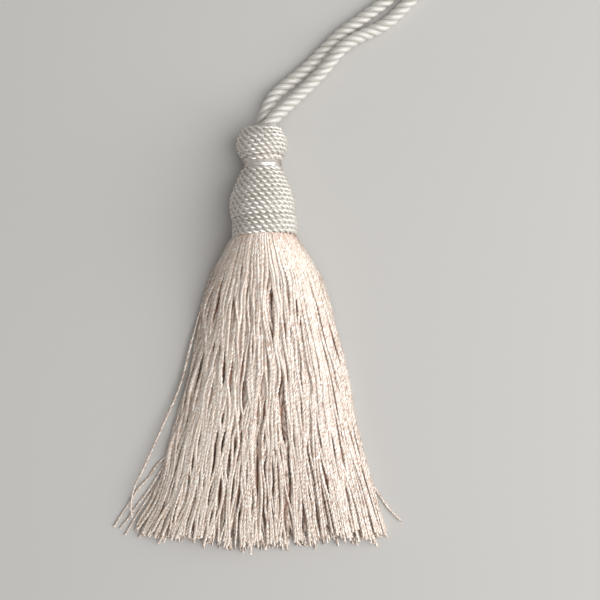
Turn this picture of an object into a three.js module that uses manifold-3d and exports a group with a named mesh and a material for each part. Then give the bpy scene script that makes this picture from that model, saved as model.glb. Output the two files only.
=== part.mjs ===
// A key tassel lying on a flat surface: a wound gourd-shaped head, a binding at its neck,
// a skirt of cut yarn strands and a looped hanging cord. Millimetres, +Z up, +Y from skirt to head.
import * as THREE from "three";
import Module from "manifold-3d";

const wasm = await Module();
wasm.setup();

// How the head lies: its axis starts at the neck, sinks towards the knob and turns a little left.
const neckPlace = { x: 2.02, y: 24.34, z: 8.28 };
const headTilt = 5.6;
const headYaw = 0.5;

// The wound head: radius of the winding's crests along the axis, measured from the neck.
const headOutline = [
  { along: 5.7, radius: 7.75 },
  { along: 7.9, radius: 8.0 },
  { along: 10.0, radius: 7.75 },
  { along: 12.0, radius: 7.05 },
  { along: 14.0, radius: 6.25 },
  { along: 16.0, radius: 5.4 },
  { along: 17.5, radius: 4.85 },
  { along: 18.5, radius: 4.75 },
  { along: 19.5, radius: 5.2 },
  { along: 20.7, radius: 5.95 },
  { along: 22.4, radius: 6.35 },
  { along: 24.2, radius: 6.15 },
  { along: 25.7, radius: 5.4 },
  { along: 26.7, radius: 4.75 },
  { along: 27.2, radius: 4.3 },
];
const rowPitch = 1.22;
const grooveDepth = 0.3;
const mouthRadius = 3.9;
const mouthRim = 26.4;
const mouthFloor = 25.2;
const roundSteps = 24;

// The neck binding: a short wound ring, set a little to the right of the head's axis.
const bindingShift = 0.5;
const bindingRows = 4;
const bindingHeight = 5.3;
const bindingRadius = 7.9;
const bindingBore = 6.1;

// The hanging cord: three strands laid up right-handed.
const cordRadius = 1.5;
const cordValley = 1.08;
const cordStrands = 3;
const cordLay = 6.75;
const ringsPerLay = 8;

// The cord's route, from the left side of the mouth round the loop to the right side of the mouth.
const cordRoute = [
  [1.3, 49.8, 4.1],
  [1.55, 51.6, 4.0],
  [2.15, 53.8, 3.9],
  [3.1, 56.5, 3.4],
  [4.5, 59.1, 2.8],
  [6.5, 61.1, 2.2],
  [9.4, 63.6, 1.75],
  [13.4, 67.1, 1.55],
  [17.2, 71.0, 1.55],
  [21.0, 74.7, 1.55],
  [24.9, 77.5, 1.55],
  [28.6, 80.2, 1.55],
  [32.5, 83.2, 1.55],
  [36.1, 87.1, 1.55],
  [38.9, 91.5, 1.55],
  [41.2, 96.2, 1.55],
  [43.6, 100.7, 1.55],
  [46.5, 104.4, 1.55],
  [51.1, 106.4, 1.55],
  [55.8, 104.5, 1.55],
  [57.8, 99.9, 1.55],
  [56.0, 95.2, 1.55],
  [52.3, 92.2, 1.55],
  [47.9, 89.7, 1.55],
  [43.4, 87.2, 1.55],
  [39.8, 84.7, 1.55],
  [36.8, 81.8, 1.55],
  [33.9, 78.9, 1.55],
  [30.8, 76.5, 1.6],
  [27.0, 74.5, 2.3],
  [23.3, 72.5, 3.4],
  [20.5, 70.2, 3.6],
  [18.3, 67.6, 3.3],
  [16.3, 65.2, 3.1],
  [14.0, 62.8, 3.1],
  [11.7, 60.5, 3.5],
  [9.4, 58.2, 4.3],
  [7.3, 56.1, 5.2],
  [5.5, 54.3, 6.1],
  [4.2, 52.8, 6.7],
  [3.1, 51.5, 7.1],
  [2.5, 50.7, 7.25],
];

// The skirt's heading: a plug inside the binding with a thin flange under it that holds the roots.
const plugRadius = 5.75;
const plugTop = 5.1;
const flangeRadius = 7.6;
const flangeTop = -0.35;
const flangeBase = -1.3;

// The skirt: strands of one length; each row is the pile's section at a distance along the strands.
// lift is the underside's height on the centre line, waist that of the widest line, crown the top.
const skirtSections = [
  { along: 0, centre: 2.5, halfWidth: 7.1, lift: 1.3, waist: 8.3, crown: 15.2, half: 0.3 },
  { along: 3, centre: 2.35, halfWidth: 9.0, lift: 0.8, waist: 6.3, crown: 15.3, half: 0.36 },
  { along: 8, centre: 2.6, halfWidth: 11.8, lift: 0.42, waist: 3.4, crown: 13.4, half: 0.4 },
  { along: 18, centre: 2.7, halfWidth: 15.3, lift: 0.42, waist: 1.4, crown: 10.4, half: 0.42 },
  { along: 34, centre: 2.8, halfWidth: 19.0, lift: 0.42, waist: 0.6, crown: 8.2, half: 0.42 },
  { along: 54, centre: 2.2, halfWidth: 23.9, lift: 0.42, waist: 0.42, crown: 6.8, half: 0.42 },
  { along: 64, centre: 2.0, halfWidth: 27.3, lift: 0.42, waist: 0.42, crown: 6.2, half: 0.42 },
  { along: 75, centre: 1.3, halfWidth: 31.9, lift: 0.42, waist: 0.42, crown: 5.7, half: 0.42 },
];
const strandCount = 135;
const strandSpread = 1.5;
const edgeLonger = 2.8;
const middleShorter = 1.3;
const lengthSpread = 1.2;
const settleRounds = 320;

// Stray strands: the outermost strand of a side leaves the pile at a section and lies at these places
// from there on, each a little longer than the rest.
const strays = [
  { side: -1, leaves: 54, longer: 0.5, across: [-24.1, -28.6, -29.6], height: [0.5, 1.75, 1.75] },
  { side: -1, leaves: 64, longer: 4.6, across: [-26.6, -35.0], height: [0.42, 0.42] },
  { side: -1, leaves: 64, longer: 3.2, across: [-25.3, -32.5], height: [0.42, 0.42] },
  { side: -1, leaves: 64, longer: 4.2, across: [-24.0, -30.8], height: [0.42, 0.42] },
  { side: 1, leaves: 75, longer: 1.2, across: [34.7], height: [0.42] },
];

const winding = new THREE.MeshStandardMaterial({ color: "#d8d2c6", roughness: 0.38, metalness: 0 });
const cordYarn = new THREE.MeshStandardMaterial({ color: "#ddd8cd", roughness: 0.5, metalness: 0 });
const skirtYarn = new THREE.MeshStandardMaterial({ color: "#e3d5c3", roughness: 0.42, metalness: 0 });

const lying = new THREE.Group();
lying.position.set(neckPlace.x, neckPlace.y, neckPlace.z);
lying.rotation.set(-THREE.MathUtils.degToRad(headTilt), 0, THREE.MathUtils.degToRad(headYaw), "ZYX");
lying.updateMatrixWorld(true);

// Repeatable numbers between 0 and 1.
let seed = 11;
function chance() {
  seed = (seed * 16807) % 2147483647;
  return seed / 2147483647;
}

// A closed body from rings of points, with a point in the middle of each end.
function tubeGeometry(rings) {
  const count = rings[0].length;
  const points = rings.flat();
  const ends = [rings[0], rings[rings.length - 1]];
  for (const ring of ends) {
    const middle = new THREE.Vector3();
    ring.forEach((p) => middle.addScaledVector(p, 1 / count));
    points.push(middle);
  }
  const triangles = [];
  for (let r = 0; r + 1 < rings.length; r++) {
    for (let i = 0; i < count; i++) {
      const a = r * count + i;
      const b = r * count + (i + 1) % count;
      triangles.push(a, b, b + count, a, b + count, a + count);
    }
  }
  const last = (rings.length - 1) * count;
  for (let i = 0; i < count; i++) {
    const next = (i + 1) % count;
    triangles.push(rings.length * count, next, i);
    triangles.push(rings.length * count + 1, last + i, last + next);
  }
  const body = new THREE.BufferGeometry();
  const numbers = points.flatMap((p) => [p.x, p.y, p.z]);
  body.setAttribute("position", new THREE.Float32BufferAttribute(numbers, 3));
  body.setIndex(triangles);
  return body;
}

// Wound rows on an outline: crests on the outline, grooves between them.
function woundRows(outline, rows) {
  const curve = new THREE.SplineCurve(outline.map((o) => new THREE.Vector2(o.radius, o.along)));
  const points = [];
  for (let i = 0; i <= 2 * rows; i++) {
    const share = i / (2 * rows);
    const point = curve.getPointAt(share);
    const run = curve.getTangentAt(share);
    const depth = i % 2 === 0 ? grooveDepth : 0;
    points.push(new THREE.Vector2(point.x - depth * run.y, point.y + depth * run.x));
  }
  return { points, length: curve.getLength() };
}

// Presses what would reach below the surface flat against it.
function pressOnFloor(mesh) {
  const spots = mesh.geometry.getAttribute("position");
  const spot = new THREE.Vector3();
  mesh.updateWorldMatrix(true, false);
  for (let i = 0; i < spots.count; i++) {
    mesh.localToWorld(spot.fromBufferAttribute(spots, i));
    spot.z = Math.max(spot.z, 0);
    mesh.worldToLocal(spot);
    spots.setXYZ(i, spot.x, spot.y, spot.z);
  }
}

function woundHead() {
  const rows = Math.round(woundRows(headOutline, 1).length / rowPitch);
  const base = headOutline[0].along;
  const outline = [
    new THREE.Vector2(0, base - 0.1),
    ...woundRows(headOutline, rows).points,
    new THREE.Vector2(mouthRadius, mouthRim),
    new THREE.Vector2(mouthRadius, mouthFloor),
    new THREE.Vector2(0, mouthFloor),
  ];
  const halfStep = Math.PI / roundSteps;
  const body = new THREE.LatheGeometry(outline, roundSteps, halfStep);
  const mesh = new THREE.Mesh(body, winding);
  mesh.name = "wound_head";
  lying.add(mesh);
  pressOnFloor(mesh);
}

function neckBinding() {
  const rings = [
    { along: 0, radius: bindingRadius },
    { along: bindingHeight / 2, radius: bindingRadius },
    { along: bindingHeight, radius: bindingRadius },
  ];
  const outline = [
    new THREE.Vector2(bindingBore, 0),
    ...woundRows(rings, bindingRows).points,
    new THREE.Vector2(bindingBore, bindingHeight),
    new THREE.Vector2(bindingBore, 0),
  ];
  const mesh = new THREE.Mesh(new THREE.LatheGeometry(outline, roundSteps, Math.PI / roundSteps), winding);
  mesh.name = "neck_binding";
  mesh.position.x = bindingShift;
  lying.add(mesh);
}

function hangingCord(root) {
  const route = cordRoute.map((p) => new THREE.Vector3(...p));
  const curve = new THREE.CatmullRomCurve3(route, false, "centripetal");
  curve.arcLengthDivisions = 800;
  const length = curve.getLength();
  const steps = Math.round((length / cordLay) * ringsPerLay);
  const frames = curve.computeFrenetFrames(steps, false);
  const corners = 2 * cordStrands;
  const rings = [];
  for (let i = 0; i <= steps; i++) {
    const centre = curve.getPointAt(i / steps);
    const twist = (2 * Math.PI * i) / ringsPerLay;
    const ring = [];
    for (let k = 0; k < corners; k++) {
      const turn = twist + (2 * Math.PI * k) / corners;
      const radius = k % 2 === 0 ? cordRadius : cordValley;
      const point = centre.clone();
      point.addScaledVector(frames.normals[i], radius * Math.cos(turn));
      point.addScaledVector(frames.binormals[i], radius * Math.sin(turn));
      ring.push(point);
    }
    rings.push(ring);
  }
  const mesh = new THREE.Mesh(tubeGeometry(rings), cordYarn);
  mesh.name = "hanging_cord";
  root.add(mesh);
}

// The pile's section holds a disc of strands: across goes from -1 to 1, rise from -1 to 1.
function toSection(section, across, rise) {
  const arch = Math.sqrt(Math.max(1 - across * across, 0.0004));
  const share = (rise / arch + 1) / 2;
  const bottom = section.lift + (section.waist - section.lift) * (1 - arch);
  const top = section.waist + (section.crown - section.waist) * arch;
  return { x: section.centre + section.halfWidth * across, z: bottom + share * (top - bottom) };
}

function fromSection(section, place) {
  const across = THREE.MathUtils.clamp((place.x - section.centre) / section.halfWidth, -0.995, 0.995);
  const arch = Math.sqrt(1 - across * across);
  const bottom = section.lift + (section.waist - section.lift) * (1 - arch);
  const top = section.waist + (section.crown - section.waist) * arch;
  const share = THREE.MathUtils.clamp((place.z - bottom) / (top - bottom), 0, 1);
  return { across, rise: (2 * share - 1) * arch };
}

// Moves strands apart at one section, each near its wished place and none under the surface.
function settle(section, wishes) {
  const places = wishes.map((w) => ({ ...w }));
  const apart = section.half * 2 * strandSpread;
  for (let round = 0; round < settleRounds; round++) {
    const pull = round < settleRounds / 2 ? 0.02 : 0;
    places.forEach((p, i) => {
      if (p.pinned) return;
      p.x += pull * (wishes[i].x - p.x);
      p.z += pull * (wishes[i].z - p.z);
    });
    for (let i = 0; i < places.length; i++) {
      for (let k = i + 1; k < places.length; k++) {
        const one = places[i];
        const other = places[k];
        const gapX = other.x - one.x;
        const gapZ = other.z - one.z;
        const gap = Math.hypot(gapX, gapZ) || 0.001;
        if (gap >= apart || (one.pinned && other.pinned)) continue;
        const push = (apart - gap) / gap / (one.pinned || other.pinned ? 1 : 2);
        if (!one.pinned) {
          one.x -= push * gapX;
          one.z -= push * gapZ;
        }
        if (!other.pinned) {
          other.x += push * gapX;
          other.z += push * gapZ;
        }
      }
    }
    places.forEach((p) => {
      p.z = Math.max(p.z, section.lift);
    });
  }
  return places;
}

// Lays the strands section by section: an even disc at the neck spreads into a low pile.
function layStrands() {
  const golden = Math.PI * (3 - Math.sqrt(5));
  let disc = [];
  for (let i = 0; i < strandCount; i++) {
    const reach = Math.sqrt((i + 0.5) / strandCount);
    disc.push({ across: reach * Math.cos(i * golden), rise: reach * Math.sin(i * golden) });
  }
  const strayRows = new Map();
  const laid = skirtSections.map((section, level) => {
    const wishes = disc.map((d) => ({ ...toSection(section, d.across, d.rise), pinned: false }));
    for (const row of strays.filter((r) => r.leaves === section.along)) {
      const free = wishes.map((w, i) => i).filter((i) => !strayRows.has(i));
      strayRows.set(free.reduce((far, i) => (row.side * (wishes[i].x - wishes[far].x) > 0 ? i : far)), row);
    }
    for (const [i, row] of strayRows) {
      const start = skirtSections.findIndex((other) => other.along === row.leaves);
      wishes[i] = { x: row.across[level - start], z: row.height[level - start], pinned: true };
    }
    const places = settle(section, wishes);
    disc = places.map((p) => fromSection(section, p));
    return places;
  });
  return disc.map((d, i) => ({
    track: laid.map((places) => places[i]),
    extra: strayRows.has(i) ? strayRows.get(i).longer : edgeLonger * d.across ** 2 - middleShorter,
  }));
}

// One four-sided strand, from its root in the flange to its cut end.
function strandGeometry({ track, extra }) {
  const tip = extra + (chance() - 0.5) * 2 * lengthSpread;
  const lean = Math.tan(THREE.MathUtils.degToRad(headTilt));
  let y = neckPlace.y + (flangeTop + flangeBase) / 2 + (track[0].z - neckPlace.z) * lean;
  const rings = track.map((place, level) => {
    const half = skirtSections[level].half;
    if (level > 0) {
      const run = skirtSections[level].along - skirtSections[level - 1].along;
      const stretch = level === track.length - 1 ? run + tip : run;
      const before = track[level - 1];
      const side = Math.hypot(place.x - before.x, place.z - before.z);
      y -= Math.sqrt(Math.max(stretch * stretch - side * side, 0.25));
    }
    const corners = [[-1, -1], [1, -1], [1, 1], [-1, 1]];
    return corners.map(([a, b]) => new THREE.Vector3(place.x + a * half, y, place.z + b * half));
  });
  return tubeGeometry(rings);
}

function toSolid(geometry) {
  const triVerts = Uint32Array.from(geometry.getIndex().array);
  const vertProperties = Float32Array.from(geometry.getAttribute("position").array);
  return new wasm.Manifold(new wasm.Mesh({ numProp: 3, vertProperties, triVerts }));
}

function skirt(root) {
  const profile = [
    { radius: plugRadius, along: plugTop },
    { radius: plugRadius, along: flangeTop },
    { radius: flangeRadius - 0.1, along: flangeTop },
    { radius: flangeRadius, along: flangeBase },
  ];
  const rings = profile.map((p) => {
    const ring = [];
    for (let i = 0; i < roundSteps; i++) {
      const turn = (2 * Math.PI * (i + 0.5)) / roundSteps;
      const spot = new THREE.Vector3(Math.cos(turn), 0, Math.sin(turn)).multiplyScalar(p.radius);
      spot.add(new THREE.Vector3(bindingShift, p.along, 0));
      ring.push(lying.localToWorld(spot));
    }
    return ring;
  });
  let solid = toSolid(tubeGeometry(rings));
  for (const strand of layStrands()) solid = solid.add(toSolid(strandGeometry(strand)));
  const made = solid.getMesh();
  const body = new THREE.BufferGeometry();
  body.setAttribute("position", new THREE.Float32BufferAttribute(made.vertProperties, 3));
  body.setIndex(Array.from(made.triVerts));
  const mesh = new THREE.Mesh(body, skirtYarn);
  mesh.name = "skirt";
  root.add(mesh);
}

const tassel = new THREE.Group();
tassel.name = "key_tassel";
tassel.add(lying);
woundHead();
neckBinding();
hangingCord(tassel);
skirt(tassel);

export default tassel;
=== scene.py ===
import bpy
import numpy as np
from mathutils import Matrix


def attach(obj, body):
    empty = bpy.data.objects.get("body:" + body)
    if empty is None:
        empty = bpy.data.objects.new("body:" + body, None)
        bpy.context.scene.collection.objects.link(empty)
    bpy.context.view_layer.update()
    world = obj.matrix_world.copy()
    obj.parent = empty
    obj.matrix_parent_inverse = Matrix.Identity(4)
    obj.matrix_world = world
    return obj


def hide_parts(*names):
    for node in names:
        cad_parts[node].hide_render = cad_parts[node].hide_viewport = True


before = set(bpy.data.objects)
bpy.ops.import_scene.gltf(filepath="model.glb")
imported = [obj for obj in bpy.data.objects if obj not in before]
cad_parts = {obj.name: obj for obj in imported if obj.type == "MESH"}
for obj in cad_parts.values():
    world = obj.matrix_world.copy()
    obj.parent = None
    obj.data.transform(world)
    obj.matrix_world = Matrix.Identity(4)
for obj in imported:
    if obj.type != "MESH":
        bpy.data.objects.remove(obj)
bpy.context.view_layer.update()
print("frame loaded:", ", ".join(sorted(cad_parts)))

mm = 0.001  # tables below are in millimetres, meshes in metres
upward = np.array([0.0, 0.0, 1.0])
dice = np.random.default_rng(23)
scene = bpy.context.scene

# camera straight above the tassel, +Y up in the picture; clip in metres
cameraSet = {"over": (10.9, 9.8), "height": 300.0, "lens": 73.5, "sensor": 36.0, "clip": (0.01, 10.0)}
lensData = bpy.data.cameras.new("overheadCamera")
lensData.lens, lensData.sensor_width = cameraSet["lens"], cameraSet["sensor"]
lensData.clip_start, lensData.clip_end = cameraSet["clip"]
overhead = bpy.data.objects.new("overheadCamera", lensData)
overhead.location = (cameraSet["over"][0] * mm, cameraSet["over"][1] * mm, cameraSet["height"] * mm)
scene.collection.objects.link(overhead)
scene.camera = overhead
print("camera set")


# sRGB hex to linear: c/12.92 near black, else ((c + 0.055)/1.055)^2.4
def toLinear(hexColour):
    c = np.array([int(hexColour[i:i + 2], 16) for i in (1, 3, 5)]) / 255
    return (*np.where(c <= 0.04045, c / 12.92, ((c + 0.055) / 1.055) ** 2.4), 1.0)


# adds one node: settings are properties, values are sockets, links are (node, output) pairs
def addNode(tree, kind, settings=None, values=None, links=None):
    node = tree.nodes.new(kind)
    for name, value in (settings or {}).items():
        setattr(node, name, value)
    for name, value in (values or {}).items():
        node.inputs[name].default_value = value
    for name, (other, output) in (links or {}).items():
        tree.links.new(other.outputs[output], node.inputs[name])
    return node


# smooth curve through rows of points: cubic Hermite pieces, each slope from a point's two neighbours
def smoothThrough(knots, rows, at):
    knots, rows, at = np.asarray(knots, float), np.asarray(rows, float), np.asarray(at, float)
    step = np.diff(knots)
    shape = (-1,) + (1,) * (rows.ndim - 1)
    rise = np.diff(rows, axis=0) / step.reshape(shape)
    slope = np.concatenate([rise[:1], rise[:-1] + rise[1:], rise[-1:]])
    slope[1:-1] -= (rows[2:] - rows[:-2]) / (step[:-1] + step[1:]).reshape(shape)
    piece = np.clip(np.searchsorted(knots, at, side="right") - 1, 0, len(step) - 1)
    t = ((at - knots[piece]) / step[piece]).reshape(shape)
    h = step[piece].reshape(shape)
    start = (1 + 2 * t) * (1 - t) ** 2 * rows[piece] + t * (1 - t) ** 2 * h * slope[piece]
    return start + t * t * (3 - 2 * t) * rows[piece + 1] + t * t * (t - 1) * h * slope[piece + 1]


# running length along a path of points
def runLength(path):
    return np.concatenate([[0.0], np.cumsum(np.linalg.norm(np.diff(path, axis=0), axis=1))])


def unit(vectors):
    return vectors / np.maximum(np.linalg.norm(vectors, axis=-1, keepdims=True), 1e-9)


# frame along paths: tangent from neighbours, normal = up less its share along the tangent,
# side = tangent x normal
def frameAlong(path, up):
    tangent = unit(np.gradient(path, axis=-2))
    normal = unit(up - tangent * np.sum(up * tangent, axis=-1, keepdims=True))
    return normal, np.cross(tangent, normal)


# smooth step from 0 at low to 1 at high
def ease(low, high, value):
    t = np.clip((value - low) / (high - low), 0, 1)
    return t * t * (3 - 2 * t)


# mesh from tubes: rings[tube, station, point] joined by quads, both ends closed; u goes round, v along in mm
def tubePiece(name, rings, along, material, marks, facing=None):
    tubes, stations, sides = rings.shape[:3]
    index = np.arange(tubes * stations * sides).reshape(tubes, stations, sides)
    beside = np.roll(index, -1, axis=2)
    quads = np.stack([index[:, :-1], beside[:, :-1], beside[:, 1:], index[:, 1:]], -1).reshape(-1, 4)
    caps = np.concatenate([index[:, 0, ::-1], index[:, -1]])
    loops = np.concatenate([quads.ravel(), caps.ravel()]).astype(np.int32)
    starts = np.concatenate([np.arange(len(quads)) * 4, quads.size + np.arange(len(caps)) * sides])
    around = np.arange(sides) / sides
    u = np.broadcast_to(np.stack([around, around + 1 / sides, around + 1 / sides, around], -1),
                        (tubes, stations - 1, sides, 4))
    v = np.stack([along[:, :-1], along[:, :-1], along[:, 1:], along[:, 1:]], -1)[:, :, None]
    quadUv = np.stack([u, np.broadcast_to(v, u.shape)], -1).reshape(-1, 2)
    capV = np.concatenate([along[:, 0], along[:, -1]])[:, None]
    capUv = np.stack(np.broadcast_arrays(around[None], capV), -1).reshape(-1, 2)
    mesh = bpy.data.meshes.new(name)
    mesh.vertices.add(index.size)
    mesh.vertices.foreach_set("co", (rings * mm).astype(np.float32).ravel())
    mesh.loops.add(len(loops))
    mesh.loops.foreach_set("vertex_index", loops)
    mesh.polygons.add(len(starts))
    mesh.polygons.foreach_set("loop_start", starts.astype(np.int32))
    mesh.update(calc_edges=True)
    runMap = mesh.uv_layers.new(name="yarnRun")
    runMap.data.foreach_set("uv", np.concatenate([quadUv, capUv]).astype(np.float32).ravel())
    for key, numbers in marks.items():  # one number per ring or per point
        spread = np.broadcast_to(numbers if numbers.ndim == 3 else numbers[..., None], index.shape)
        mark = mesh.attributes.new(key, "FLOAT", "POINT")
        mark.data.foreach_set("value", spread.astype(np.float32).ravel())
    mesh.polygons.foreach_set("use_smooth", np.ones(len(starts), bool))
    if facing is not None:  # own normals: one per point on the sides, straight out at the ends
        middle = rings.mean(2)
        ends = unit(np.concatenate([middle[:, 0] - middle[:, 1], middle[:, -1] - middle[:, -2]]))
        normals = np.concatenate([facing.reshape(-1, 3)[quads.ravel()], np.repeat(ends, sides, axis=0)])
        mesh.normals_split_custom_set(normals.astype(np.float32))
    mesh.materials.append(material)
    piece = bpy.data.objects.new(name, mesh)
    scene.collection.objects.link(piece)
    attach(piece, "root")
    print(f"{name}: {len(quads) * 2 + len(caps) * (sides - 2)} triangles")
    return piece


# round tube: ring point = centre + radius * (cos(turn) * normal + sin(turn) * side)
def roundTube(centre, up, radius, sides):
    normal, side = frameAlong(centre, up)
    turn = 2 * np.pi * np.arange(sides) / sides + np.pi  # u starts on the inner side
    spokes = np.cos(turn)[:, None] * normal[..., None, :] + np.sin(turn)[:, None] * side[..., None, :]
    return centre[..., None, :] + radius[..., None, None] * spokes


# plies laid round a path, right-handed: centre = path + offset * (cos(twist) * normal + sin(twist) * side)
def laidPlies(path, up, twist, offset, radius, plies, sides):
    normal, side = frameAlong(path, up)
    turn = twist + 2 * np.pi * np.arange(plies)[:, None] / plies
    outward = np.cos(turn)[..., None] * normal + np.sin(turn)[..., None] * side
    centre = path + offset[:, None] * outward
    return roundTube(centre, outward, np.broadcast_to(radius, turn.shape), sides)


# what all the yarns share: viscose's own values, and how the noise of the filament lines is read
fibreSet = {
    "ior": 1.6, "sheenRough": 0.45, "glowDepth": 0.25, "glowTint": (1.0, 0.92, 0.84),
    "detail": 2.0, "breakUp": 0.6, "middle": 0.5, "glossFrom": (0.3, 0.7),
}


# lustrous viscose yarn: bundles of bright endless filaments, so a silky broad gloss, fine lines along
# each ply with painted glints along them, and a painted shade, warmer and darker, where light only reaches
# it through other yarn
def viscoseYarn(name, look):
    material = bpy.data.materials.new(name)
    material.use_nodes = True
    tree = material.node_tree
    tree.nodes.clear()
    run = addNode(tree, "ShaderNodeUVMap", {"uv_map": "yarnRun"})
    # filament lines: the ply's skin in mm, turned by the filaments' lean, cells of lineWide by lineLong mm;
    # real filaments are about 0.02 mm, so the lines are drawn coarse enough to show
    skinRun = addNode(tree, "ShaderNodeMapping",
                      values={"Scale": (look["girth"], 1, 1), "Rotation": (0, 0, np.radians(look["lean"]))},
                      links={"Vector": (run, "UV")})
    lines = addNode(tree, "ShaderNodeMapping",
                    values={"Scale": (1 / look["lineWide"], 1 / look["lineLong"], 1)},
                    links={"Vector": (skinRun, "Vector")})
    filaments = addNode(tree, "ShaderNodeTexNoise", {"noise_dimensions": "2D"},
                        {"Scale": 1.0, "Detail": fibreSet["detail"], "Roughness": fibreSet["breakUp"]},
                        {"Vector": (lines, "Vector")})
    tint = addNode(tree, "ShaderNodeAttribute", {"attribute_name": "tint"})
    shade = addNode(tree, "ShaderNodeAttribute", {"attribute_name": "shade"})
    dye = addNode(tree, "ShaderNodeMix", {"data_type": "RGBA"},
                  {6: toLinear(look["deep"]), 7: toLinear(look["pale"])}, {"Factor": (tint, "Fac")})
    # painted glints: where the filament noise is high, the colour runs towards the glint colour
    paintedGlint = addNode(tree, "ShaderNodeMapRange",
                     values={"From Min": fibreSet["middle"] - look["soft"],
                             "From Max": fibreSet["middle"] + look["soft"],
                             "To Min": 0.0, "To Max": look["paintedGlint"]},
                     links={"Value": (filaments, "Fac")})
    withGlints = addNode(tree, "ShaderNodeMix", {"data_type": "RGBA"}, {7: toLinear(look["glint"])},
                    {"Factor": (paintedGlint, "Result"), 6: (dye, 2)})
    # painted shade: by the shade attribute the colour runs towards the shadow colour
    shaded = addNode(tree, "ShaderNodeMix", {"data_type": "RGBA"}, {7: toLinear(look["shadow"])},
                     {"Factor": (shade, "Fac"), 6: (withGlints, 2)})
    gloss = addNode(tree, "ShaderNodeMapRange",
                    values={"From Min": fibreSet["glossFrom"][0], "From Max": fibreSet["glossFrom"][1],
                            "To Min": look["rough"][0], "To Max": look["rough"][1]},
                    links={"Value": (filaments, "Fac")})
    relief = addNode(tree, "ShaderNodeBump", values={"Strength": 1.0, "Distance": look["relief"] * mm},
                     links={"Height": (filaments, "Fac")})
    skin = addNode(tree, "ShaderNodeBsdfPrincipled",
                   values={"IOR": fibreSet["ior"], "Specular IOR Level": look["specular"],
                           "Metallic": look["lustre"],
                           "Sheen Weight": look["sheen"], "Sheen Roughness": fibreSet["sheenRough"],
                           "Subsurface Weight": look["glow"], "Subsurface Radius": fibreSet["glowTint"],
                           "Subsurface Scale": fibreSet["glowDepth"] * mm},
                   links={"Base Color": (shaded, 2), "Roughness": (gloss, "Result"),
                          "Normal": (relief, "Normal")})
    addNode(tree, "ShaderNodeOutputMaterial", links={"Surface": (skin, "BSDF")})
    return material


# hanging cord: three strands laid up right-handed, one loop that leaves the head's mouth and goes back in;
# swell presses the strands into each other, groove is the depth over which the valleys get a painted shade
cordSet = {
    "radius": 1.5, "lay": 6.75, "strands": 3, "step": 0.25, "sides": 14, "fine": 6000, "swell": 1.1,
    "lowest": 0.05, "tint": 0.5, "groove": (0.1, 0.5), "grooveShade": 0.5,
    "route": [
        (1.3, 49.8, 4.1), (1.55, 51.6, 4.0), (2.15, 53.8, 3.9), (3.1, 56.5, 3.4), (4.5, 59.1, 2.8),
        (6.5, 61.1, 2.2), (9.4, 63.6, 1.75), (13.4, 67.1, 1.55), (17.2, 71.0, 1.55), (21.0, 74.7, 1.55),
        (24.9, 77.5, 1.55), (28.6, 80.2, 1.55), (32.5, 83.2, 1.55), (36.1, 87.1, 1.55), (38.9, 91.5, 1.55),
        (41.2, 96.2, 1.55), (43.6, 100.7, 1.55), (46.5, 104.4, 1.55), (51.1, 106.4, 1.55),
        (55.8, 104.5, 1.55), (57.8, 99.9, 1.55), (56.0, 95.2, 1.55), (52.3, 92.2, 1.55), (47.9, 89.7, 1.55),
        (43.4, 87.2, 1.55), (39.8, 84.7, 1.55), (36.8, 81.8, 1.55), (33.9, 78.9, 1.55), (30.8, 76.5, 1.6),
        (27.0, 74.5, 2.3), (23.3, 72.5, 3.4), (20.5, 70.2, 3.6), (18.3, 67.6, 3.3), (16.3, 65.2, 3.1),
        (14.0, 62.8, 3.1), (11.7, 60.5, 3.5), (9.4, 58.2, 4.3), (7.3, 56.1, 5.2), (5.5, 54.3, 6.1),
        (4.2, 52.8, 6.7), (3.1, 51.5, 7.1), (2.5, 50.7, 7.25)],
}
cordLook = {
    "deep": "#d1cdc5", "pale": "#ddd9d1", "glint": "#f6f4ef", "shadow": "#6f695f",
    "paintedGlint": 0.5, "soft": 0.2, "lean": -25.0, "girth": 4.4, "lineWide": 0.22, "lineLong": 2.2,
    "relief": 0.05, "rough": (0.3, 0.46), "specular": 0.5, "lustre": 0.1, "sheen": 0.1, "glow": 0.1,
}
cordYarn = viscoseYarn("satin viscose cord", cordLook)  # white, with a calm even sheen, partly from its gloss and partly painted glints


# even points along a smooth route: knots by the square root of each chord, then resampled by length
def evenRoute(points, step, fine):
    points = np.array(points)
    knots = np.concatenate([[0.0], np.cumsum(np.linalg.norm(np.diff(points, axis=0), axis=1) ** 0.5)])
    curve = smoothThrough(knots, points, np.linspace(0, knots[-1], fine))
    length = runLength(curve)
    at = np.linspace(0, length[-1], int(length[-1] / step) + 1)
    return np.stack([np.interp(at, length, curve[:, k]) for k in range(3)], -1), at


cordPath, cordAt = evenRoute(cordSet["route"], cordSet["step"], cordSet["fine"])
strandRadius = cordSet["radius"] / (1 + 2 / 3 ** 0.5)  # three touching strands in one circle
cordRings = laidPlies(cordPath, upward, 2 * np.pi * cordAt / cordSet["lay"],
                      np.full(len(cordAt), cordSet["radius"] - strandRadius),
                      np.full(len(cordAt), strandRadius * cordSet["swell"]),
                      cordSet["strands"], cordSet["sides"])
cordRings[..., 2] = np.maximum(cordRings[..., 2], cordSet["lowest"])
# valleys between the strands lie nearer the cord's axis and get a painted shade
cordDepth = cordSet["radius"] - np.linalg.norm(cordRings - cordPath[:, None], axis=-1)
cordMarks = {"tint": np.full(cordRings.shape[:2], cordSet["tint"]),
             "shade": cordSet["grooveShade"] * ease(*cordSet["groove"], cordDepth)}
hangingCord = tubePiece("hangingCord", cordRings, np.broadcast_to(cordAt, cordRings.shape[:2]), cordYarn,
                        cordMarks)
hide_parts("hanging_cord")
print(f"cord laid, {cordAt[-1]:.1f} mm")

# how the head lies: axis from the neck, sinking towards the knob and turned a little left
lieSet = {"neck": (2.02, 24.34, 8.28), "tilt": 5.6, "yaw": 0.5}


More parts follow.
